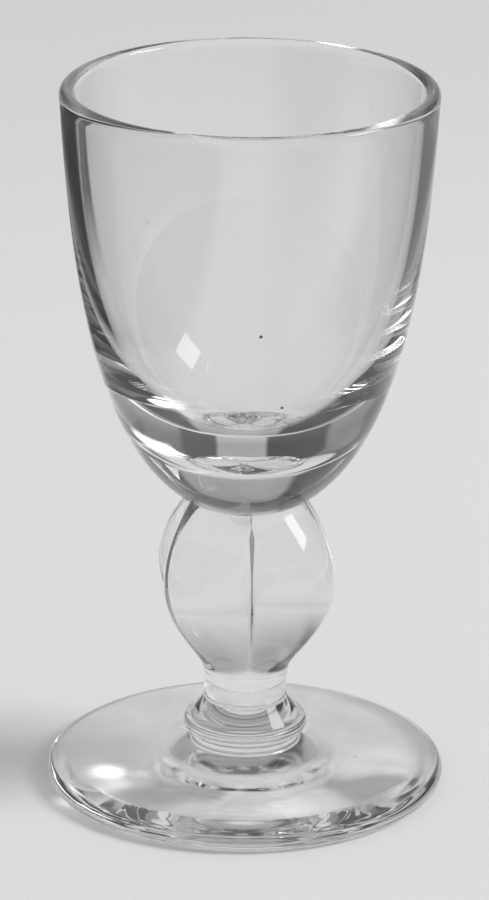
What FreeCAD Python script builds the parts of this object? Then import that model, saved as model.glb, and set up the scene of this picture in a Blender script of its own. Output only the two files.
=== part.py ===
import FreeCAD, Part
import math
import os

# Liqueur glass of clear crystal, worked hot in one piece, in millimetres.
# The origin lies on the axis, on the surface that the glass stands on.
# +Z points up through the bowl, and the front of the glass faces -Y.

# Foot: a disc with a rounded edge, low shoulders and a short slope up to the waist
foot_radius = 27.75
foot_edge_thickness = 2.5
foot_rise = 2.6
shoulder_slope_deg = 14.0
shoulder_pull = 6.4
foot_slope_deg = 30.0
foot_slope_pull = 6.4
pontil_radius = 9.6
pontil_depth = 0.9

# Waist between the foot and the collar
waist_radius = 7.4
waist_height = 2.0
waist_flare_radius = 1.5

# Collar: a cone that widens downwards on to a rounded lip
collar_radius = 8.65
collar_height = 4.65
collar_lip_radius = 1.05
lip_crease_deg = 85.0

# Neck: a fine bead under a broad soft one
neck_radius = 5.66
lower_bead_height = 0.6
upper_bead_height = 2.25
bead_swell = 0.12

# Knop: four lobes between pinched grooves, turned a little about the axis
knop_foot_height = 2.4
knop_foot_blend = 1.25
knop_height = 27.6
knop_bulge = 8.2
lobe_count = 4
lobe_offset = 7.1
knop_turn_deg = 4.8
knop_section_count = 15

# Bowl: a thick wall that is drawn out thinner towards the rim
bowl_height = 59.8
rim_radius = 25.55
rim_wall = 2.1
side_pull = 25.2
side_lean = 1.3
belly_radius = 20.95
belly_lift = 5.2
seat_radius = 4.9

# Cup: the hollow of the bowl
base_thickness = 9.5
base_cover = 5.1
cup_side_pull = 26.0
cup_side_lean = 0.9
cup_floor_pull = 19.0

# Heights that follow from the sizes above
foot_top = foot_edge_thickness + foot_rise
collar_bottom = foot_top + waist_height
collar_top = collar_bottom + collar_height
neck_top = collar_top + lower_bead_height + upper_bead_height
knop_bottom = neck_top + knop_foot_height
knop_top = knop_bottom + knop_height
cup_floor = knop_top + base_cover
bowl_seat = cup_floor - base_thickness
bowl_top = bowl_seat + bowl_height


def point(radius, height):
    """A point of a profile, in the plane that is turned about the axis."""
    return FreeCAD.Vector(radius, 0.0, height)


def line(start, end):
    return Part.LineSegment(start, end).toShape()


def arc(start, middle, end):
    return Part.Arc(start, middle, end).toShape()


def curve(poles):
    bezier = Part.BezierCurve()
    bezier.setPoles(poles)
    return bezier.toShape()


def turned(edges):
    """Turn a closed profile a full circle about the axis."""
    face = Part.Face(Part.Wire(edges))
    return face.revolve(FreeCAD.Vector(0, 0, 0), FreeCAD.Vector(0, 0, 1), 360)


def foot():
    """The disc, its rounded edge and shoulders, and the waist that flares up from it."""
    edge = foot_edge_thickness / 2
    shoulder_slope = math.radians(shoulder_slope_deg)
    foot_slope = math.radians(foot_slope_deg)
    flare_centre_radius = waist_radius + waist_flare_radius
    flare_centre_height = foot_top + waist_flare_radius

    def on_flare(angle):
        return point(flare_centre_radius + waist_flare_radius * math.cos(angle),
                     flare_centre_height + waist_flare_radius * math.sin(angle))

    flare_foot = on_flare(math.radians(270) - foot_slope)
    flare_middle = on_flare(math.radians(225) - foot_slope / 2)
    flare_top = on_flare(math.radians(180))
    edge_top = point(foot_radius - edge, foot_edge_thickness)
    shoulder = point(edge_top.x - shoulder_pull * math.cos(shoulder_slope),
                     edge_top.z + shoulder_pull * math.sin(shoulder_slope))
    slope_foot = point(flare_foot.x + foot_slope_pull * math.cos(foot_slope),
                       flare_foot.z - foot_slope_pull * math.sin(foot_slope))
    ball_radius = (pontil_radius ** 2 + pontil_depth ** 2) / (2 * pontil_depth)
    ball_centre = pontil_depth - ball_radius
    half_pontil = pontil_radius / 2
    pontil_middle = point(half_pontil,
                          ball_centre + math.sqrt(ball_radius ** 2 - half_pontil ** 2))
    waist_end = collar_bottom + collar_lip_radius
    return turned([
        arc(point(0, pontil_depth), pontil_middle, point(pontil_radius, 0)),
        line(point(pontil_radius, 0), point(foot_radius - edge, 0)),
        arc(point(foot_radius - edge, 0), point(foot_radius, edge), edge_top),
        curve([edge_top, shoulder, slope_foot, flare_foot]),
        arc(flare_foot, flare_middle, flare_top),
        line(flare_top, point(waist_radius, waist_end)),
        line(point(waist_radius, waist_end), point(0, waist_end)),
        line(point(0, waist_end), point(0, pontil_depth)),
    ])


def collar():
    """The cone, and the rounded lip that stands out a little from its foot."""
    lip_centre_radius = collar_radius - collar_lip_radius
    lip_centre_height = collar_bottom + collar_lip_radius
    crease = math.radians(lip_crease_deg)

    def on_lip(angle):
        return point(lip_centre_radius + collar_lip_radius * math.cos(angle),
                     lip_centre_height + collar_lip_radius * math.sin(angle))

    lip_bottom = point(lip_centre_radius, collar_bottom)
    cone_top = point(neck_radius + bead_swell, collar_top)
    return turned([
        line(point(0, collar_bottom), lip_bottom),
        arc(lip_bottom, on_lip(0.0), on_lip(crease)),
        line(on_lip(crease), cone_top),
        line(cone_top, point(0, collar_top)),
        line(point(0, collar_top), point(0, collar_bottom)),
    ])


def neck():
    """The two beads, one above the other."""
    edges = [line(point(0, collar_top), point(neck_radius, collar_top))]
    height = collar_top
    for bead_height in (lower_bead_height, upper_bead_height):
        edges.append(arc(point(neck_radius, height),
                         point(neck_radius + bead_swell, height + bead_height / 2),
                         point(neck_radius, height + bead_height)))
        height += bead_height
    edges.append(line(point(neck_radius, neck_top), point(0, neck_top)))
    edges.append(line(point(0, neck_top), point(0, collar_top)))
    return turned(edges)


def swell_at(height):
    """How far the knop is swollen at a height: 0 on the neck and 1 at its widest."""
    share = (height - knop_bottom) / knop_height
    if share < 0:
        rise = math.pi * share
    else:
        rise = math.sin(math.pi * share)
    blend = knop_foot_blend / knop_bulge * (1 - share)
    return (rise + math.hypot(rise, blend)) / 2


def knop_section(height):
    """One level of the knop: an arc for each lobe."""
    swell = swell_at(height)
    reach = neck_radius + knop_bulge * swell
    offset = lobe_offset * swell
    lobe_radius = reach - offset
    half_lobe = math.pi / lobe_count
    groove = offset * math.cos(half_lobe)
    groove += math.sqrt(lobe_radius ** 2 - (offset * math.sin(half_lobe)) ** 2)

    def around(radius, angle):
        return FreeCAD.Vector(radius * math.cos(angle), radius * math.sin(angle), height)

    arcs = []
    for number in range(lobe_count):
        tip = math.radians(knop_turn_deg) + half_lobe * (2 * number + 1)
        arcs.append(arc(around(groove, tip - half_lobe), around(reach, tip),
                        around(groove, tip + half_lobe)))
    return Part.Wire(arcs)


def knop():
    """The lobed knop, drawn through its levels as one smooth skin with sharp grooves."""
    step = (knop_top - neck_top) / (knop_section_count - 1)
    levels = [neck_top + step * number for number in range(knop_section_count)]
    return Part.makeLoft([knop_section(level) for level in levels], True, False)


def bowl():
    """The thick-based bowl: outside, rounded rim and inside in one profile."""
    rim_height = bowl_top - rim_wall / 2
    cup_radius = rim_radius - rim_wall
    outside = curve([
        point(seat_radius, bowl_seat),
        point(belly_radius, bowl_seat + belly_lift),
        point(rim_radius - side_lean, rim_height - side_pull),
        point(rim_radius, rim_height),
    ])
    rim = arc(point(rim_radius, rim_height), point(rim_radius - rim_wall / 2, bowl_top),
              point(cup_radius, rim_height))
    inside = curve([
        point(cup_radius, rim_height),
        point(cup_radius - cup_side_lean, rim_height - cup_side_pull),
        point(cup_floor_pull, cup_floor),
        point(0, cup_floor),
    ])
    return turned([
        line(point(0, bowl_seat), point(seat_radius, bowl_seat)),
        outside,
        rim,
        inside,
        line(point(0, cup_floor), point(0, bowl_seat)),
    ])


def liqueur_glass():
    """All of the glass is one piece, so its parts are fused."""
    glass = foot().fuse([collar(), neck(), knop(), bowl()])
    return glass.removeSplitter()


os.makedirs("parts", exist_ok=True)
glass = liqueur_glass()
print("solids", len(glass.Solids), "valid", glass.isValid(), "volume cm3", round(glass.Volume / 1000, 2))
print("height", round(glass.BoundBox.ZLength, 3), "width", round(glass.BoundBox.XLength, 3))
glass.exportStep("parts/liqueur_glass.step")
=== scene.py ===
import math

import bmesh
import bpy
from mathutils import Euler, Matrix, Vector


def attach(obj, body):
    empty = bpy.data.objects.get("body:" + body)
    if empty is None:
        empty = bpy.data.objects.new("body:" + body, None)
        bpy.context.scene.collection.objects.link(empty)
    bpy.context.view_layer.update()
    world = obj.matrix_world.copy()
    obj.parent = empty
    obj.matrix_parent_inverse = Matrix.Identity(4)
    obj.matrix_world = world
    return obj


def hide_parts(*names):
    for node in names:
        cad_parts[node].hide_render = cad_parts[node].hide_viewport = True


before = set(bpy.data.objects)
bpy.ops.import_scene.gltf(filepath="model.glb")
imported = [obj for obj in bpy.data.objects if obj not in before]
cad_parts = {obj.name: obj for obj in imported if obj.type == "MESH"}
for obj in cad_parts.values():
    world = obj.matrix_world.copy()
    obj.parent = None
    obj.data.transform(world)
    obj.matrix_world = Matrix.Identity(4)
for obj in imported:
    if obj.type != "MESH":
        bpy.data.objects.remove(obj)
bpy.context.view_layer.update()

# Liqueur glass of clear crystal, worked hot in one piece. Lengths are in millimetres up to
# where MM turns them into metres. +Z points up through the bowl and the camera looks along +Y.
MM = 0.001

# Foot
FOOT_RADIUS = 27.75
FOOT_EDGE_THICKNESS = 2.5
FOOT_RISE = 2.6
SHOULDER_SLOPE = math.radians(14.0)
SHOULDER_PULL = 6.4
FOOT_SLOPE = math.radians(30.0)
FOOT_SLOPE_PULL = 6.4
PONTIL_RADIUS = 9.6
PONTIL_DEPTH = 0.9

# Waves that the hand work left on top of the foot: a low swell near the edge, fuller on one side,
# and faint rings round the stem. A band gives its start, where it is full, how far it falls off
# and its end. The side and its spread are in degrees, the side counted from +X.
SWELL_HEIGHT = 0.15
SWELL_SIDE = 325.0
SWELL_SPREAD = 22
SWELL_BAND = (18.5, 23.5, 3.0, 26.5)
RING_HEIGHT = 0.012
RING_SPACING = 1.9
RING_BAND = (9.0, 11.0, 4.0, 18.5)

# Waist
WAIST_RADIUS = 7.4
WAIST_HEIGHT = 2.0
WAIST_FLARE_RADIUS = 1.5

# Collar
COLLAR_RADIUS = 8.65
COLLAR_HEIGHT = 4.65
COLLAR_LIP_RADIUS = 1.05
LIP_CREASE = 85.0

# Neck
NECK_RADIUS = 5.66
BEAD_HEIGHTS = (0.6, 2.25)
BEAD_SWELL = 0.12

# Knop, with a narrow fold at the bottom of each groove
KNOP_FOOT_HEIGHT = 2.4
KNOP_FOOT_BLEND = 1.25
KNOP_HEIGHT = 27.6
KNOP_BULGE = 8.2
LOBE_COUNT = 4
LOBE_OFFSET = 7.1
KNOP_TURN = math.radians(4.8)
GROOVE_SOFTNESS = math.radians(0.6)
FOLD_DEPTH = 0.5
FOLD_HALF_WIDTH = 0.30
FOLD_BAND = (21.0, 28.0, 2.5, 40.5)

# Bowl
BOWL_HEIGHT = 59.8
RIM_RADIUS = 25.55
RIM_WALL = 2.1
SIDE_PULL = 25.2
SIDE_LEAN = 1.3
BELLY_RADIUS = 20.95
BELLY_LIFT = 5.2
SEAT_RADIUS = 4.9

# Cup
BASE_THICKNESS = 9.5
BASE_COVER = 5.1
CUP_SIDE_PULL = 26.0
CUP_SIDE_LEAN = 0.9
CUP_FLOOR_PULL = 19.0

# Heights that follow
FOOT_TOP = FOOT_EDGE_THICKNESS + FOOT_RISE
COLLAR_BOTTOM = FOOT_TOP + WAIST_HEIGHT
COLLAR_TOP = COLLAR_BOTTOM + COLLAR_HEIGHT
NECK_TOP = COLLAR_TOP + sum(BEAD_HEIGHTS)
KNOP_BOTTOM = NECK_TOP + KNOP_FOOT_HEIGHT
KNOP_TOP = KNOP_BOTTOM + KNOP_HEIGHT
CUP_FLOOR = KNOP_TOP + BASE_COVER
BOWL_SEAT = CUP_FLOOR - BASE_THICKNESS
BOWL_TOP = BOWL_SEAT + BOWL_HEIGHT

# Mesh fineness: steps round the axis, then along the outline from the foot up to the cup's floor
SEGMENTS = 224
HOLLOW_STEPS = 12
UNDERSIDE_STEPS = 12
EDGE_STEPS = 20
FOOT_TOP_STEPS = 60
FLARE_STEPS = 12
WAIST_STEPS = 2
LIP_STEPS = 18
CONE_STEPS = 6
BEAD_STEPS = 8
KNOP_STEPS = 84
BLEND_STEPS = 24
BOWL_STEPS = 60
RIM_STEPS = 20
CUP_STEPS = 80

# The share of the bowl's outside curve over which its vertices shift to follow the lobes, how
# evenly the vertices lie about a groove (1 is even), and the tolerance for heights and radii
BLEND_SHARE = 0.30
SEAM_CROWDING = 0.5
TOLERANCE = 1e-4
HALVINGS = 40
SMOOTH_ANGLE = math.radians(35)


def steps_between(start, end, count):
    """Points on the straight line after its start."""
    return [(start[0] + (end[0] - start[0]) * n / count, start[1] + (end[1] - start[1]) * n / count)
            for n in range(1, count + 1)]


def round_points(centre, radius, start, end, count):
    """Points on an arc after its start, angles in degrees from the outward direction."""
    points = []
    for n in range(1, count + 1):
        angle = math.radians(start + (end - start) * n / count)
        points.append((centre[0] + radius * math.cos(angle), centre[1] + radius * math.sin(angle)))
    return points


def bezier(poles, share):
    """The point of a curve at a share of its way, from 0 to 1."""
    rest = 1 - share
    weights = (rest ** 3, 3 * rest ** 2 * share, 3 * rest * share ** 2, share ** 3)
    return tuple(sum(weight * pole[axis] for weight, pole in zip(weights, poles)) for axis in (0, 1))


def bezier_points(poles, count, start=0.0, end=1.0):
    """Points on a curve after its start, which is a share of its way as the end is."""
    return [bezier(poles, start + (end - start) * n / count) for n in range(1, count + 1)]


def bowl_outside_poles():
    rim_height = BOWL_TOP - RIM_WALL / 2
    return ((SEAT_RADIUS, BOWL_SEAT), (BELLY_RADIUS, BOWL_SEAT + BELLY_LIFT),
            (RIM_RADIUS - SIDE_LEAN, rim_height - SIDE_PULL), (RIM_RADIUS, rim_height))


def bowl_inside_poles():
    rim_height = BOWL_TOP - RIM_WALL / 2
    cup_radius = RIM_RADIUS - RIM_WALL
    return ((cup_radius, rim_height), (cup_radius - CUP_SIDE_LEAN, rim_height - CUP_SIDE_PULL),
            (CUP_FLOOR_PULL, CUP_FLOOR), (0.0, CUP_FLOOR))


def share_where(is_before, high=1.0):
    """The share of a curve up to which a test is true, found by halving."""
    low = 0.0
    for _ in range(HALVINGS):
        middle = (low + high) / 2
        if is_before(middle):
            low = middle
        else:
            high = middle
    return (low + high) / 2


def bowl_share_at(height):
    """The share of the bowl's outside curve that lies at a height."""
    poles = bowl_outside_poles()
    return share_where(lambda share: bezier(poles, share)[1] < height)


def knop_radius(height, off_tip):
    """The knop's radius at a height and at an angle from the nearest lobe's tip."""
    share = min((height - KNOP_BOTTOM) / KNOP_HEIGHT, 1.0)
    rise = math.sin(math.pi * share) if share > 0 else math.pi * share
    blend = KNOP_FOOT_BLEND / KNOP_BULGE * (1 - share)
    swell = (rise + math.hypot(rise, blend)) / 2
    reach = NECK_RADIUS + KNOP_BULGE * swell
    offset = LOBE_OFFSET * swell
    lobe_radius = reach - offset
    return offset * math.cos(off_tip) + math.sqrt(lobe_radius ** 2 - (offset * math.sin(off_tip)) ** 2)


def junction_share(off_tip):
    """Where the bowl's outside meets the knop, as a share of the bowl's curve."""
    poles = bowl_outside_poles()

    def is_in_knop(share):
        radius, height = bezier(poles, share)
        return radius < knop_radius(height, off_tip)

    return share_where(is_in_knop, bowl_share_at(KNOP_TOP))


def foot_outline():
    """The foot: its ground hollow, the flat ring, the round edge and the top up to the waist."""
    ball = (PONTIL_RADIUS ** 2 + PONTIL_DEPTH ** 2) / (2 * PONTIL_DEPTH)
    hollow_angle = math.degrees(math.asin(PONTIL_RADIUS / ball))
    edge = FOOT_EDGE_THICKNESS / 2
    flare_centre = (WAIST_RADIUS + WAIST_FLARE_RADIUS, FOOT_TOP + WAIST_FLARE_RADIUS)
    flare_foot = (flare_centre[0] - WAIST_FLARE_RADIUS * math.sin(FOOT_SLOPE),
                  flare_centre[1] - WAIST_FLARE_RADIUS * math.cos(FOOT_SLOPE))
    points = [(0.0, PONTIL_DEPTH)]
    points += round_points((0.0, PONTIL_DEPTH - ball), ball, 90, 90 - hollow_angle, HOLLOW_STEPS)
    points += steps_between(points[-1], (FOOT_RADIUS - edge, 0.0), UNDERSIDE_STEPS)
    points += round_points((FOOT_RADIUS - edge, edge), edge, -90, 90, EDGE_STEPS)
    edge_top = points[-1]
    shoulder = (edge_top[0] - SHOULDER_PULL * math.cos(SHOULDER_SLOPE),
                edge_top[1] + SHOULDER_PULL * math.sin(SHOULDER_SLOPE))
    slope_foot = (flare_foot[0] + FOOT_SLOPE_PULL * math.cos(FOOT_SLOPE),
                  flare_foot[1] - FOOT_SLOPE_PULL * math.sin(FOOT_SLOPE))
    points += bezier_points((edge_top, shoulder, slope_foot, flare_foot), FOOT_TOP_STEPS)
    points += round_points(flare_centre, WAIST_FLARE_RADIUS, 270 - math.degrees(FOOT_SLOPE), 180,
                           FLARE_STEPS)
    return points


def stem_outline(start):
    """The waist from its start, the collar with its rounded lip, and the beads of the neck."""
    lip_centre = (COLLAR_RADIUS - COLLAR_LIP_RADIUS, COLLAR_BOTTOM + COLLAR_LIP_RADIUS)
    points = steps_between(start, (WAIST_RADIUS, COLLAR_BOTTOM), WAIST_STEPS)
    points += [(lip_centre[0], COLLAR_BOTTOM)]
    points += round_points(lip_centre, COLLAR_LIP_RADIUS, -90, LIP_CREASE, LIP_STEPS)
    points += steps_between(points[-1], (NECK_RADIUS + BEAD_SWELL, COLLAR_TOP), CONE_STEPS)
    points += [(NECK_RADIUS, COLLAR_TOP)]
    height = COLLAR_TOP
    for bead in BEAD_HEIGHTS:
        bead_radius = (BEAD_SWELL ** 2 + (bead / 2) ** 2) / (2 * BEAD_SWELL)
        half = math.degrees(math.asin(bead / 2 / bead_radius))
        points += round_points((NECK_RADIUS + BEAD_SWELL - bead_radius, height + bead / 2),
                               bead_radius, -half, half, BEAD_STEPS)
        height += bead
    return points


def bowl_outline():
    """The knop through the tip of a lobe, the bowl's outside, its rim and the cup."""
    outside = bowl_outside_poles()
    start = junction_share(0.0)
    seat_height = bezier(outside, start)[1]
    points = []
    for n in range(1, KNOP_STEPS + 1):
        level = NECK_TOP + (seat_height - NECK_TOP) * n / KNOP_STEPS
        points.append((knop_radius(level, 0.0), level))
    points += bezier_points(outside, BLEND_STEPS, start, BLEND_SHARE)
    points += bezier_points(outside, BOWL_STEPS, BLEND_SHARE, 1)
    points += round_points((RIM_RADIUS - RIM_WALL / 2, BOWL_TOP - RIM_WALL / 2), RIM_WALL / 2, 0, 180,
                           RIM_STEPS)
    points += bezier_points(bowl_inside_poles(), CUP_STEPS)
    return points


def outline():
    """The glass's outline from the middle of its underside round to the middle of the cup's floor."""
    points = foot_outline()
    points += stem_outline(points[-1])
    points += bowl_outline()
    return points


def draw_outline(points):
    """Draw the outline in the upright plane through one groove, by extruding a single vertex."""
    bpy.ops.object.select_all(action="DESELECT")
    bpy.ops.mesh.primitive_plane_add(size=MM)
    glass = bpy.context.object
    bpy.ops.object.mode_set(mode="EDIT")
    bpy.ops.mesh.select_all(action="SELECT")
    bpy.ops.mesh.merge(type="CENTER")
    places = [Vector((r * math.cos(KNOP_TURN), r * math.sin(KNOP_TURN), z)) * MM for r, z in points]
    bpy.ops.transform.translate(value=places[0])
    for start, end in zip(places, places[1:]):
        bpy.ops.mesh.extrude_region_move(TRANSFORM_OT_translate={"value": end - start})
    return glass


def turn_about_axis():
    """Turn the drawn outline a full circle about the axis, and close it where it meets itself."""
    bpy.ops.mesh.select_all(action="SELECT")
    bpy.ops.mesh.spin(steps=SEGMENTS, angle=2 * math.pi, center=(0, 0, 0), axis=(0, 0, 1))
    bpy.ops.mesh.select_all(action="SELECT")
    bpy.ops.mesh.remove_doubles(threshold=0.001 * MM)
    bpy.ops.mesh.normals_make_consistent(inside=False)
    bpy.ops.object.mode_set(mode="OBJECT")


def smooth_step(value, start, end):
    """0 up to the start and 1 from the end, with a soft way between."""
    share = min(max((value - start) / (end - start), 0.0), 1.0)
    return share * share * (3 - 2 * share)


def soft_band(value, band):
    """1 within a band and 0 outside it, with a soft way up after its start and down to its end."""
    start, full, fall, end = band
    return smooth_step(value, start, full) * smooth_step(end - value, 0.0, fall)


def fold_depth(beside, z):
    """The sharp fold at the bottom of a groove, shallower towards its two ends."""
    return FOLD_DEPTH * soft_band(z, FOLD_BAND) * max(0.0, 1 - beside / FOLD_HALF_WIDTH)


def pinch_lobes(mesh):
    """Crowd the vertices towards the grooves, and push the grooves into the round knop."""
    outside = bowl_outside_poles()
    half_lobe = math.pi / LOBE_COUNT
    full_start = junction_share(0.0)
    full_height = bezier(outside, full_start)[1]
    blend_radius, blend_height = bezier(outside, BLEND_SHARE)
    junctions = {}
    for vertex in mesh.verts:
        x, y, z = vertex.co / MM
        radius = math.hypot(x, y)
        if radius < TOLERANCE:
            continue
        angle = math.atan2(y, x) - KNOP_TURN
        groove = round(angle / (2 * half_lobe)) * 2 * half_lobe
        off_groove = (angle - groove) / half_lobe
        off_groove *= SEAM_CROWDING + (1 - SEAM_CROWDING) * off_groove ** 2
        off_groove *= half_lobe
        in_cup = z > CUP_FLOOR - TOLERANCE and radius < blend_radius - RIM_WALL
        if NECK_TOP + TOLERANCE < z < blend_height - TOLERANCE and not in_cup:
            off_tip = half_lobe - math.sqrt(off_groove ** 2 + GROOVE_SOFTNESS ** 2)
            key = round(off_tip, 6)
            if key not in junctions:
                junctions[key] = junction_share(off_tip)
            start = junctions[key]
            if z <= full_height + TOLERANCE:
                seat_height = bezier(outside, start)[1]
                z = NECK_TOP + (z - NECK_TOP) * (seat_height - NECK_TOP) / (full_height - NECK_TOP)
                radius = knop_radius(z, off_tip)
                radius -= fold_depth(radius * abs(off_groove), z)
            else:
                share = bowl_share_at(z)
                share = start + (share - full_start) * (BLEND_SHARE - start) / (BLEND_SHARE - full_start)
                radius, z = bezier(outside, share)
        angle = groove + off_groove + KNOP_TURN
        vertex.co = Vector((radius * math.cos(angle), radius * math.sin(angle), z)) * MM


def foot_waves(x, y):
    """How high the waves of the hand work stand on top of the foot."""
    radius = math.hypot(x, y)
    off_swell = (math.degrees(math.atan2(y, x)) - SWELL_SIDE + 180) % 360 - 180
    swell = SWELL_HEIGHT * (1 + math.exp(-(off_swell / SWELL_SPREAD) ** 2)) * soft_band(radius, SWELL_BAND)
    rings = soft_band(radius, RING_BAND)
    return swell + RING_HEIGHT * rings * math.sin(2 * math.pi * radius / RING_SPACING)


def leave_hand_waves(mesh):
    """Lift the foot's top by its waves."""
    for vertex in mesh.verts:
        x, y, z = vertex.co / MM
        if FOOT_EDGE_THICKNESS / 2 < z < FOOT_TOP:
            vertex.co.z += foot_waves(x, y) * MM


def work_by_hand(glass):
    """What was done to the turned glass while it was hot."""
    mesh = bmesh.new()
    mesh.from_mesh(glass.data)
    pinch_lobes(mesh)
    leave_hand_waves(mesh)
    mesh.to_mesh(glass.data)
    mesh.free()
    glass.data.update()


# Crystal
REFRACTIVE_INDEX = 1.54
CLOUD_SCALE = 60.0
CLOUD_TONES = ((0.3, 0.955), (0.7, 0.98))
SKIN_SCALE = 330.0
SKIN_DEPTH = 0.0005
HOLLOW_TOP = 1.2 * PONTIL_DEPTH
HOLLOW_ROUGHNESS = 0.12

# Small marks in the surface: centre, reach and how dark
MARKS = (((1.69, -22.91, 72.35), 0.30, 1.0), ((4.56, -20.08, 61.50), 0.27, 1.0),
         ((-13.29, -20.92, 87.37), 0.55, 0.18), ((15.45, -2.35, 3.70), 0.55, 0.5),
         ((-8.8, -21.3, 70.2), 0.22, 0.35), ((9.9, -19.2, 64.8), 0.20, 0.4))
MARK_SHARPNESS = 3.0
MARK_AND_SHADE_TONE = 0.02

# Painted shade along each fold: a darker colour standing in for the dark line that the bent light draws
# there. Its half width as a share of the widest by height up the glass, the widest half width, how far its
# side fades and how dark it is
GROOVE_SHADE_WIDTHS = ((0.0, 0.0), (0.20, 0.0), (0.24, 0.25), (0.33, 0.35), (0.385, 1.0), (0.402, 0.0), (1.0, 0.0))
GROOVE_SHADE_HALF_WIDTH = 0.42
GROOVE_SHADE_FADE = 0.08
GROOVE_SHADE_DARKNESS = 0.8

# How much light the glass lets through on to the floor, by height: the thin foot lets most
# through, and the knop bends it away to the sides. The foot's round edge bends it away too.
LIGHT_LET_THROUGH = ((0.0, 0.97), (0.06, 0.97), (0.075, 0.85), (0.15, 0.85), (0.19, 0.35), (0.46, 0.4),
                     (0.54, 0.7), (1.0, 0.7))
EDGE_SHADE = 0.4

# Ripples of light under the foot, and the streaks that they make of the gathered light
RIPPLE_SCALE = 90.0
RIPPLE_TWIST = 1.2
RIPPLE_LEAST = 0.52
RIPPLE_GAIN = 0.9
STREAK_GAIN = 3.6

# Places where the waves of the foot gather the light on the floor, or keep it away where the
# strength is below nothing: centre, reach and strength
GATHERED_LIGHT = (((-14.6, -6.0), 3.0, 16.0), ((-13.6, -9.6), 2.6, 5.0), ((-19.8, -11.0), 2.8, 7.0),
                  ((9.0, -18.0), 6.0, 0.5), ((23.0, -11.8), 6.5, -4.0), ((16.5, -9.5), 3.0, -2.0),
                  ((-6.0, -12.0), 5.0, -2.6), ((-11.0, -14.8), 4.4, -2.6))


def plain_math(tree, operation, *values):
    """A math node fed with plain numbers or with other nodes' outputs."""
    node = tree.nodes.new("ShaderNodeMath")
    node.operation = operation
    for socket, value in zip(node.inputs, values):
        if isinstance(value, (int, float)):
            socket.default_value = value
        else:
            tree.links.new(value, socket)
    return node.outputs["Value"]


def grey_ramp(tree, value, stops):
    """A ramp of greys, each stop a place from 0 to 1 and a brightness."""
    node = tree.nodes.new("ShaderNodeValToRGB")
    tree.links.new(value, node.inputs["Fac"])
    elements = node.color_ramp.elements
    elements[0].position = stops[0][0]
    elements[1].position = stops[-1][0]
    for place, _ in stops[1:-1]:
        elements.new(place)
    for element, (_, grey) in zip(elements, stops):
        element.color = (grey, grey, grey, 1.0)
    return node.outputs["Color"]


def grey_mix(tree, share, first, second, blend="MIX"):
    """The first brightness, and the second by its share. Each is a number or a node's output."""
    node = tree.nodes.new("ShaderNodeMix")
    node.data_type = "RGBA"
    node.blend_type = blend
    for socket, value in ((node.inputs[0], share), (node.inputs[6], first), (node.inputs[7], second)):
        if not isinstance(value, float):
            tree.links.new(value, socket)
        elif socket.type == "RGBA":
            socket.default_value = (value, value, value, 1.0)
        else:
            socket.default_value = value
    return node.outputs[2]


def noise(tree, place, scale, detail=2.0, twist=0.0):
    """Soft uneven values about 0.5."""
    node = tree.nodes.new("ShaderNodeTexNoise")
    tree.links.new(place, node.inputs["Vector"])
    node.inputs["Scale"].default_value = scale
    node.inputs["Detail"].default_value = detail
    node.inputs["Distortion"].default_value = twist
    return node.outputs["Fac"]


def parts_of(tree, vector):
    """The three parts of a place or a direction."""
    split = tree.nodes.new("ShaderNodeSeparateXYZ")
    tree.links.new(vector, split.inputs["Vector"])
    return [split.outputs[axis] for axis in "XYZ"]


def off_axis(tree, x, y):
    """The distance from the axis."""
    squares = plain_math(tree, "ADD", plain_math(tree, "MULTIPLY", x, x), plain_math(tree, "MULTIPLY", y, y))
    return plain_math(tree, "SQRT", squares)


def soft_spot(tree, place, centre, reach):
    """1 at the centre and 0 from the reach outwards. Lengths in millimetres."""
    node = tree.nodes.new("ShaderNodeVectorMath")
    node.operation = "DISTANCE"
    tree.links.new(place, node.inputs[0])
    node.inputs[1].default_value = [part * MM for part in centre]
    share = plain_math(tree, "DIVIDE", node.outputs["Value"], reach * MM)
    return plain_math(tree, "MAXIMUM", plain_math(tree, "SUBTRACT", 1.0, share), 0.0)


def show_mix(tree, share, first, second):
    """Show the first shader on the surface, and the second by its share."""
    mix = tree.nodes.new("ShaderNodeMixShader")
    for socket, output in zip(mix.inputs, (share, first, second)):
        tree.links.new(output, socket)
    tree.links.new(mix.outputs["Shader"], tree.nodes["Material Output"].inputs["Surface"])


def floor_light(tree, place):
    """The tint of the glass for the light that it lets through on to the floor."""
    x, y, z = parts_of(tree, place)
    by_height = grey_ramp(tree, plain_math(tree, "DIVIDE", z, BOWL_TOP * MM), LIGHT_LET_THROUGH)
    low = plain_math(tree, "LESS_THAN", z, FOOT_TOP * MM)
    beyond = plain_math(tree, "GREATER_THAN", off_axis(tree, x, y),
                        (FOOT_RADIUS - FOOT_EDGE_THICKNESS / 2) * MM)
    tint = grey_mix(tree, plain_math(tree, "MULTIPLY", low, beyond), by_height, EDGE_SHADE)
    uneven = noise(tree, place, RIPPLE_SCALE, 3.0, RIPPLE_TWIST)
    ripples = plain_math(tree, "MULTIPLY_ADD", uneven, RIPPLE_GAIN, RIPPLE_LEAST)
    streaks = plain_math(tree, "MULTIPLY", plain_math(tree, "POWER", uneven, 2.0), STREAK_GAIN)
    spots = 0.0
    for centre, reach, strength in GATHERED_LIGHT:
        spot = soft_spot(tree, place, (*centre, FOOT_EDGE_THICKNESS), reach)
        spots = plain_math(tree, "MULTIPLY_ADD", spot, strength, spots)
    gathered = plain_math(tree, "MAXIMUM", plain_math(tree, "MULTIPLY_ADD", spots, streaks, ripples), 0.0)
    gathered = plain_math(tree, "MULTIPLY_ADD", plain_math(tree, "SUBTRACT", gathered, 1.0), low, 1.0)
    return grey_mix(tree, 1.0, tint, gathered, "MULTIPLY")


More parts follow.
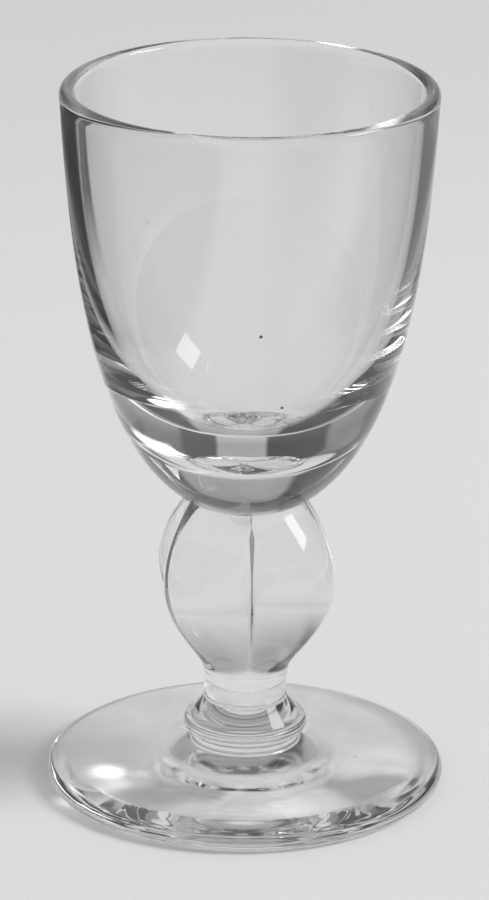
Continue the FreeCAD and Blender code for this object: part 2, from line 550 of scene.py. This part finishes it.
def painted_groove_shade(tree, place):
    """A mask of painted shade along the fold at the bottom of each groove of the knop, widest near its top.
    """
    x, y, z = parts_of(tree, place)
    angle = plain_math(tree, "SUBTRACT", plain_math(tree, "ARCTAN2", y, x), KNOP_TURN)
    off_groove = plain_math(tree, "PINGPONG", angle, math.pi / LOBE_COUNT)
    beside = plain_math(tree, "MULTIPLY", off_groove, off_axis(tree, x, y))
    width = grey_ramp(tree, plain_math(tree, "DIVIDE", z, BOWL_TOP * MM), GROOVE_SHADE_WIDTHS)
    half_width = plain_math(tree, "MULTIPLY", width, GROOVE_SHADE_HALF_WIDTH * MM)
    share = plain_math(tree, "DIVIDE", plain_math(tree, "SUBTRACT", half_width, beside), GROOVE_SHADE_FADE * MM)
    return plain_math(tree, "MINIMUM", plain_math(tree, "MAXIMUM", share, 0.0), 1.0)


def crystal():
    """Clear crystal, polished by the fire, with small dark spots of use and painted shade along the grooves
    of the knop.
    """
    material = bpy.data.materials.new("crystal")
    material.use_nodes = True
    tree = material.node_tree
    nodes, links = tree.nodes, tree.links
    shader = nodes["Principled BSDF"]
    shader.inputs["IOR"].default_value = REFRACTIVE_INDEX
    shader.inputs["Transmission Weight"].default_value = 1.0
    place = nodes.new("ShaderNodeTexCoord").outputs["Object"]

    tone = grey_ramp(tree, noise(tree, place, CLOUD_SCALE), CLOUD_TONES)
    # Painted shade: the fold mask darkens the colour where the bent light draws a dark line; the small marks
    # after it are the glass's own.
    marks_and_painted_shade = plain_math(tree, "MULTIPLY", painted_groove_shade(tree, place), GROOVE_SHADE_DARKNESS)
    for centre, reach, dark in MARKS:
        spot = plain_math(tree, "MULTIPLY", soft_spot(tree, place, centre, reach), MARK_SHARPNESS)
        spot = plain_math(tree, "MINIMUM", spot, 1.0)
        marks_and_painted_shade = plain_math(tree, "MAXIMUM", marks_and_painted_shade, plain_math(tree, "MULTIPLY", spot, dark))
    links.new(grey_mix(tree, marks_and_painted_shade, tone, MARK_AND_SHADE_TONE), shader.inputs["Base Color"])

    x, y, z = parts_of(tree, place)
    under = plain_math(tree, "LESS_THAN", z, HOLLOW_TOP * MM)
    within = plain_math(tree, "LESS_THAN", off_axis(tree, x, y), PONTIL_RADIUS * MM)
    ground = plain_math(tree, "MULTIPLY", under, within)
    links.new(plain_math(tree, "MULTIPLY", ground, HOLLOW_ROUGHNESS), shader.inputs["Roughness"])

    bump = nodes.new("ShaderNodeBump")
    bump.inputs["Strength"].default_value = 1.0
    bump.inputs["Distance"].default_value = SKIN_DEPTH * MM
    links.new(noise(tree, place, SKIN_SCALE), bump.inputs["Height"])
    links.new(bump.outputs["Normal"], shader.inputs["Normal"])

    path = nodes.new("ShaderNodeLightPath")
    clear = nodes.new("ShaderNodeBsdfTransparent")
    links.new(floor_light(tree, place), clear.inputs["Color"])
    show_mix(tree, path.outputs["Is Shadow Ray"], shader.outputs["BSDF"], clear.outputs["BSDF"])
    return material


def glass_piece():
    """The whole glass, which is one piece."""
    glass = draw_outline(outline())
    turn_about_axis()
    work_by_hand(glass)
    glass.name = "crystal_glass"
    bpy.ops.object.select_all(action="DESELECT")
    glass.select_set(True)
    bpy.context.view_layer.objects.active = glass
    bpy.ops.object.transform_apply(location=True, rotation=True, scale=True)
    bpy.ops.object.shade_smooth_by_angle(angle=SMOOTH_ANGLE)
    glass.data.materials.clear()
    glass.data.materials.append(crystal())
    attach(glass, "root")
    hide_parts("liqueur_glass")


# The studio as the glass shows it: the brightness overhead by the compass, in degrees from +X.
# The pale backdrop stands behind, the dark room lies at the sides and in front. It fades upwards.
STUDIO_ROUND = ((0, 0.20), (22, 0.17), (27, 0.09), (58, 0.09), (62, 0.37), (107, 0.37), (111, 0.055),
                (166, 0.06), (172, 0.20), (200, 0.20), (206, 0.06), (238, 0.06), (262, 0.10), (345, 0.10),
                (350, 0.20), (360, 0.20))
STUDIO_UP = ((0, 1.0), (35, 1.0), (50, 0.85), (60, 0.62), (90, 0.4))

# The same low over the floor, as light shows it that was thrown back in the glass. Light that only
# passed through shows the pale backdrop there, as the camera does.
HORIZON_ROUND = ((0, 0.40), (22, 0.30), (27, 0.12), (58, 0.12), (62, 0.53), (107, 0.53), (111, 0.10),
                 (166, 0.10), (172, 0.30), (238, 0.30), (262, 0.40), (360, 0.40))
HORIZON_TOP = 22
HORIZON_GREY = 0.68

# The air's light on the paper, straight and through the glass
OPEN_AIR = 0.53
LIGHT_THROUGH_GLASS = 1.1

# The paper in metres, and its colour from the glass outwards by shares of the way to its edge, painted paler
# far out where the window's light falls off, as painted light
PAPER_SIZE = 12.0
PAPER_DROP = 0.00005
PAPER_ROUGHNESS = 0.9
PAPER_PAINTED_LIGHT = ((0.0, 0.715), (0.03, 0.715), (0.07, 0.64), (0.2, 0.71), (0.4, 0.84), (1.0, 1.0))

# The window: its direction in degrees, and its distance, sizes, power and glow. Lengths in metres.
# The glare about the window shows only in light that was thrown back more than once.
WINDOW_AZIMUTH = -7
WINDOW_HEIGHT = 38
WINDOW_AIM = (0, 0, 0.05)
PANE_DISTANCE = 5.2
PANE_SIZE = (2.20, 1.68)
PANE_POWER = 218.0
PANE_GLOW = 6.0
GLARE_DISTANCE = 5.1
GLARE_SIZE = (4.00, 3.00)
GLARE_GLOW = 3.8

# The dark beside the pale paper: name, place, turn in degrees, width and height in metres,
# brightness, how far it fades in at the sides and ends, and the least depth of the light
DARK_CARDS = (("dark_left", (-0.262, 0.08, 0.0002), 0, 0.40, 0.76, 0.05, (0.05, 0.05), ("Glossy Depth", 1)),
              ("dark_right", (0.250, 0.15, 0.0002), 0, 0.38, 0.50, 0.17, (0.15, 0.1), ("Glossy Depth", 1)),
              ("dark_back_left", (-0.130, 0.287, 0.0004), 19, 0.058, 0.30, 0.05, (0.15, 0.35),
               ("Transmission Depth", 4)))
FRONT_AZIMUTH = 228
FRONT_DISTANCE = 0.30
FRONT_HEIGHT = 0.08
FRONT_SIZE = (0.34, 0.16)
FRONT_GREY = 0.06

# How often the light may bend or be thrown back, so that the rim and the foot's edge stay clear
MOST_BOUNCES = 128

# Camera, in metres and degrees. The lens and the width behind it are in millimetres.
CAMERA_PLACE = (0, -0.606, 0.2703)
CAMERA_PITCH = 20.13
CAMERA_YAW = 0.035
CAMERA_ROLL = 0.45
LENS = 188.0
SENSOR_WIDTH = 36.0


def seen_in_glass(tree):
    """1 for light that reaches the eye from the glass, 0 for light on its way to the floor."""
    path = tree.nodes.new("ShaderNodeLightPath")
    bent = plain_math(tree, "MAXIMUM", path.outputs["Is Glossy Ray"], path.outputs["Is Transmission Ray"])
    direct = plain_math(tree, "LESS_THAN", path.outputs["Diffuse Depth"], 0.5)
    return plain_math(tree, "MULTIPLY", bent, direct)


def deep_light(tree, kind, count):
    """1 for light that was thrown back, or let through, at least that often, else 0."""
    path = tree.nodes.new("ShaderNodeLightPath")
    return plain_math(tree, "GREATER_THAN", path.outputs[kind], count - 0.5)


def floor():
    """Pale paper under the glass and all round it, its colour painted paler far out where the window's light
    falls off.
    """
    bpy.ops.mesh.primitive_plane_add(size=PAPER_SIZE, location=(0, 0, -PAPER_DROP))
    paper = bpy.context.object
    paper.name = "floor"
    material = bpy.data.materials.new("pale_paper")
    material.use_nodes = True
    tree = material.node_tree
    place = tree.nodes.new("ShaderNodeTexCoord")
    reach = tree.nodes.new("ShaderNodeVectorMath")
    reach.operation = "LENGTH"
    tree.links.new(place.outputs["Object"], reach.inputs[0])
    outward = plain_math(tree, "DIVIDE", reach.outputs["Value"], PAPER_SIZE / 2)
    shader = tree.nodes["Principled BSDF"]
    # Painted light: the paper's colour rises outwards where the window's light falls off.
    tree.links.new(grey_ramp(tree, outward, PAPER_PAINTED_LIGHT), shader.inputs["Base Color"])
    shader.inputs["Roughness"].default_value = PAPER_ROUGHNESS
    shader.inputs["Specular IOR Level"].default_value = 0.0
    paper.data.materials.append(material)


def glowing(name, grey, soft=(0.0, 0.0), least_depth=None):
    """One brightness in the glass, fading out at the edges, and nothing for any other light.

    With a least depth it shows only in light that was thrown back, or let through, that often.
    """
    material = bpy.data.materials.new(name)
    material.use_nodes = True
    tree = material.node_tree
    tree.nodes.remove(tree.nodes["Principled BSDF"])
    share = seen_in_glass(tree)
    if least_depth:
        share = plain_math(tree, "MULTIPLY", share, deep_light(tree, *least_depth))
    place = tree.nodes.new("ShaderNodeTexCoord").outputs["Object"]
    for part, fade in zip(parts_of(tree, place), soft):
        if fade:
            inward = plain_math(tree, "SUBTRACT", 0.5, plain_math(tree, "ABSOLUTE", part))
            inward = plain_math(tree, "MINIMUM", plain_math(tree, "DIVIDE", inward, fade), 1.0)
            share = plain_math(tree, "MULTIPLY", share, inward)
    glow = tree.nodes.new("ShaderNodeEmission")
    glow.inputs["Color"].default_value = (grey, grey, grey, 1.0)
    nothing = tree.nodes.new("ShaderNodeBsdfTransparent")
    show_mix(tree, share, nothing.outputs["BSDF"], glow.outputs["Emission"])
    material.cycles.emission_sampling = "NONE"
    return material


def card(name, place, turn, width, height, material):
    """A flat card of the studio, seen only in the glass. Lengths in metres."""
    bpy.ops.mesh.primitive_plane_add(size=1.0, location=place, rotation=turn)
    sheet = bpy.context.object
    sheet.name = name
    sheet.scale = (width, height, 1.0)
    sheet.data.materials.append(material)
    sheet.visible_camera = False
    sheet.visible_diffuse = False
    sheet.visible_shadow = False


def dark_room():
    """The dark beside the pale paper, and the darker corner in front to the left."""
    for name, place, turn, width, height, grey, soft, least_depth in DARK_CARDS:
        card(name, place, (0, 0, math.radians(turn)), width, height,
             glowing(name, grey, soft, least_depth))
    azimuth = math.radians(FRONT_AZIMUTH)
    place = (FRONT_DISTANCE * math.cos(azimuth), FRONT_DISTANCE * math.sin(azimuth), FRONT_HEIGHT)
    turn = (math.radians(90), 0, azimuth - math.radians(90))
    card("dark_front_left", place, turn, *FRONT_SIZE,
         glowing("dark_front_left", FRONT_GREY, soft=(0.35, 0.0)))


def window():
    """The soft light from the right, and the pane and the glare that the glass shows there."""
    azimuth, height = math.radians(WINDOW_AZIMUTH), math.radians(WINDOW_HEIGHT)
    towards = Vector((math.cos(azimuth) * math.cos(height), math.sin(azimuth) * math.cos(height),
                      math.sin(height)))
    place = towards * PANE_DISTANCE
    aim = (Vector(WINDOW_AIM) - place).to_track_quat("-Z", "Y").to_euler()
    bpy.ops.object.light_add(type="AREA", location=place, rotation=aim)
    light = bpy.context.object
    light.name = "window"
    light.data.shape = "RECTANGLE"
    light.data.size, light.data.size_y = PANE_SIZE
    light.data.energy = PANE_POWER
    light.visible_glossy = False
    light.visible_transmission = False
    card("window_pane", place, aim, *PANE_SIZE, glowing("window_glow", PANE_GLOW, soft=(0.06, 0.06)))
    card("window_glare", towards * GLARE_DISTANCE, aim, *GLARE_SIZE,
         glowing("window_glare", GLARE_GLOW, soft=(0.25, 0.25), least_depth=("Glossy Depth", 2)))


def studio_air():
    """The backdrop and the room as the camera and the glass show them, and the air's own light."""
    world = bpy.data.worlds.new("studio_air")
    bpy.context.scene.world = world
    world.use_nodes = True
    tree = world.node_tree
    direction = tree.nodes.new("ShaderNodeTexCoord").outputs["Generated"]
    path = tree.nodes.new("ShaderNodeLightPath")
    east, north, up = parts_of(tree, direction)
    compass = plain_math(tree, "DIVIDE", plain_math(tree, "ARCTAN2", north, east), 2 * math.pi)
    compass = plain_math(tree, "FRACT", plain_math(tree, "ADD", compass, 1.0))
    height = plain_math(tree, "DIVIDE", plain_math(tree, "ARCSINE", up), math.pi / 2)
    height = plain_math(tree, "MAXIMUM", height, 0.0)
    around = grey_ramp(tree, compass, [(degrees / 360, grey) for degrees, grey in STUDIO_ROUND])
    fade = grey_ramp(tree, height, [(degrees / 90, grey) for degrees, grey in STUDIO_UP])
    overhead = grey_mix(tree, 1.0, around, fade, "MULTIPLY")
    low_around = grey_ramp(tree, compass, [(degrees / 360, grey) for degrees, grey in HORIZON_ROUND])
    horizon = grey_mix(tree, deep_light(tree, "Glossy Depth", 1), HORIZON_GREY, low_around)
    above = grey_ramp(tree, height, ((0.0, 0.0), (HORIZON_TOP / 90, 1.0), (1.0, 1.0)))
    in_glass = grey_mix(tree, above, horizon, overhead)
    air = grey_mix(tree, path.outputs["Is Transmission Ray"], OPEN_AIR, LIGHT_THROUGH_GLASS)
    sky = grey_mix(tree, seen_in_glass(tree), air, in_glass)
    sky = grey_mix(tree, path.outputs["Is Camera Ray"], sky, HORIZON_GREY)
    tree.links.new(sky, tree.nodes["Background"].inputs["Color"])


def studio():
    """All that stands round the glass."""
    floor()
    dark_room()
    window()
    studio_air()
    limits = bpy.context.scene.cycles
    limits.max_bounces = MOST_BOUNCES
    limits.glossy_bounces = MOST_BOUNCES
    limits.transmission_bounces = MOST_BOUNCES


def camera():
    """A long lens from in front, a little above the rim."""
    bpy.ops.object.camera_add(location=CAMERA_PLACE)
    view = bpy.context.object
    upright = Euler((math.radians(90) - math.radians(CAMERA_PITCH), 0, math.radians(CAMERA_YAW)))
    turn = upright.to_matrix() @ Matrix.Rotation(math.radians(CAMERA_ROLL), 3, "Z")
    view.rotation_euler = turn.to_euler()
    view.data.lens = LENS
    view.data.sensor_width = SENSOR_WIDTH
    bpy.context.scene.camera = view


glass_piece()
studio()
camera()
bpy.context.scene.view_settings.view_transform = "Standard"
